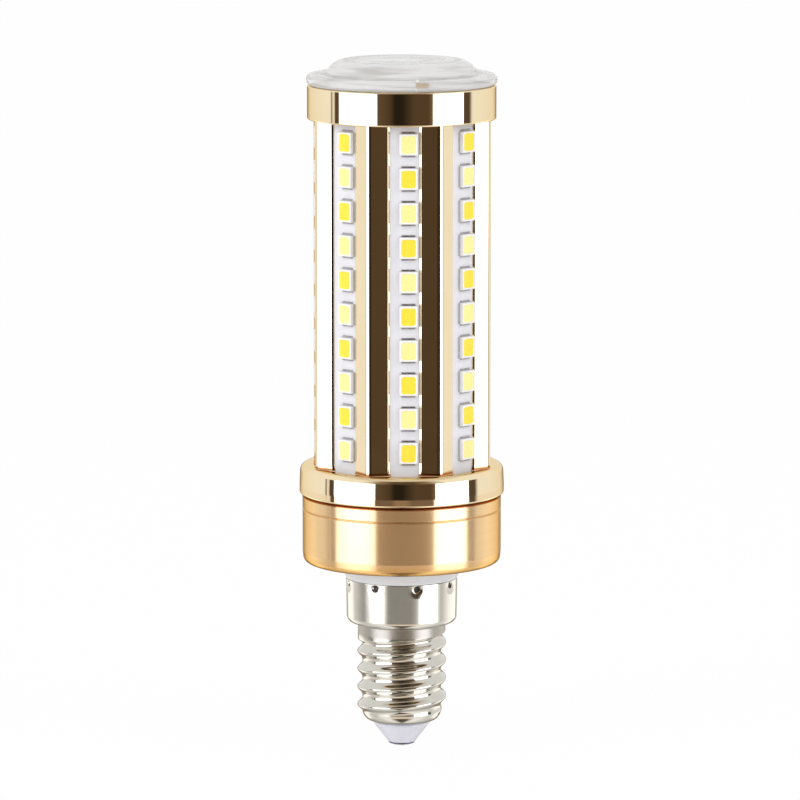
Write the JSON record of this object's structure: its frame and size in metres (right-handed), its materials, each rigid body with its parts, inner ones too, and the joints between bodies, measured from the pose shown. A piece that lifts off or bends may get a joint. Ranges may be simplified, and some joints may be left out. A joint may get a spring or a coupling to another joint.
{
  "type": "corn led bulb",
  "caption": "Corn-cob LED bulb with a small screw cap: ridged gold bars between strips of yellow LEDs, a gold cup below and a clear domed cap on top.",
  "frame": {"origin": "on the bulb's axis, at the flat face of the centre contact", "axes": "+Z along the axis from the screw cap to the clear cap, and one LED strip faces -Y"},
  "size_m": [0.0316, 0.0316, 0.1068],
  "materials": {
    "clear_plastic": "gloss",
    "polished_gold": "polished",
    "satin_gold": "satin",
    "white_plastic": "satin",
    "nickel_plate": "polished",
    "white_ceramic": "gloss",
    "tinned_contact": "satin",
    "bare_aluminium": "satin",
    "white_board": "satin",
    "green_board": "satin",
    "capacitor_sleeve": "gloss",
    "choke_winding": "satin",
    "black_epoxy": "matte",
    "resistor_body": "satin",
    "wire_insulation": "satin",
    "led_resin": "satin",
    "warm_phosphor": "satin",
    "cool_phosphor": "satin"
  },
  "bodies": {
    "root": {"lens_cap": "clear_plastic", "top_ring": "polished_gold", "bar_cage": "polished_gold", "base_cup": "satin_gold", "neck_insulator": "white_plastic", "screw_shell": "nickel_plate", "tip_insulator": "white_ceramic", "centre_contact": "tinned_contact", "led_core": "bare_aluminium", "link_board": "white_board", "driver_board": "green_board", "bulk_capacitor": "capacitor_sleeve", "choke": "choke_winding", "bridge_rectifier": "black_epoxy", "driver_chip": "black_epoxy", "fuse_resistor": "resistor_body", "live_lead": "wire_insulation", "neutral_lead": "wire_insulation", "feed_leads": "wire_insulation", "led_strip_1": "white_board", "led_cases_1": "led_resin", "warm_phosphor_1": "warm_phosphor", "cool_phosphor_1": "cool_phosphor", "led_strip_2": "white_board", "led_cases_2": "led_resin", "warm_phosphor_2": "warm_phosphor", "cool_phosphor_2": "cool_phosphor", "led_strip_3": "white_board", "led_cases_3": "led_resin", "warm_phosphor_3": "warm_phosphor", "cool_phosphor_3": "cool_phosphor", "led_strip_4": "white_board", "led_cases_4": "led_resin", "warm_phosphor_4": "warm_phosphor", "cool_phosphor_4": "cool_phosphor", "led_strip_5": "white_board", "led_cases_5": "led_resin", "warm_phosphor_5": "warm_phosphor", "cool_phosphor_5": "cool_phosphor", "led_strip_6": "white_board", "led_cases_6": "led_resin", "warm_phosphor_6": "warm_phosphor", "cool_phosphor_6": "cool_phosphor", "led_strip_7": "white_board", "led_cases_7": "led_resin", "warm_phosphor_7": "warm_phosphor", "cool_phosphor_7": "cool_phosphor", "led_strip_8": "white_board", "led_cases_8": "led_resin", "warm_phosphor_8": "warm_phosphor", "cool_phosphor_8": "cool_phosphor"}
  },
  "joints": []
}
